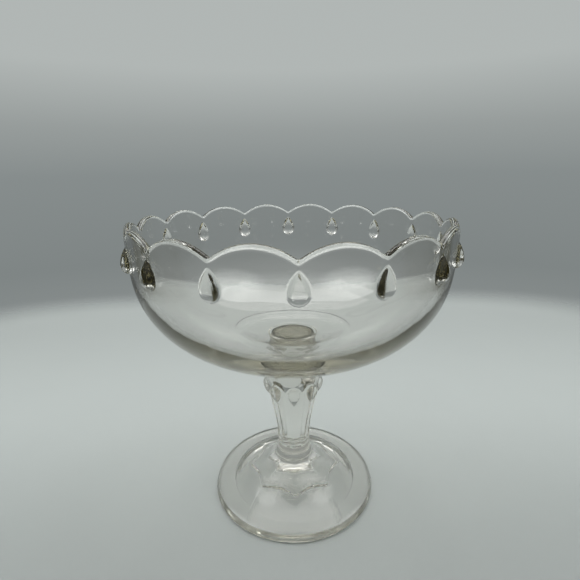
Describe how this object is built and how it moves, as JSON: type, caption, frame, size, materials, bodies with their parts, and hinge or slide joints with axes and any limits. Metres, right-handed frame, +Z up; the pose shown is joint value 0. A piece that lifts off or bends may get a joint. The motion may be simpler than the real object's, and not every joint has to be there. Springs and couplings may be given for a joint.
{
  "type": "footed compote bowl",
  "caption": "Deep clear glass bowl with a scalloped rim and raised teardrops, on a fluted stem with a pointed skirt and a round foot.",
  "frame": {"origin": "centre of the foot's resting face, on the surface it stands on", "axes": "+Z up along the axis of the bowl and stem; a notch of the rim, a teardrop and a point of the skirt face -Y"},
  "size_m": [0.2232, 0.2232, 0.2163],
  "materials": {
    "clear_glass": "gloss",
    "seam_glass": "satin"
  },
  "bodies": {
    "root": {"bowl": "clear_glass", "joining_wafer": "seam_glass", "pedestal": "clear_glass"}
  },
  "joints": []
}
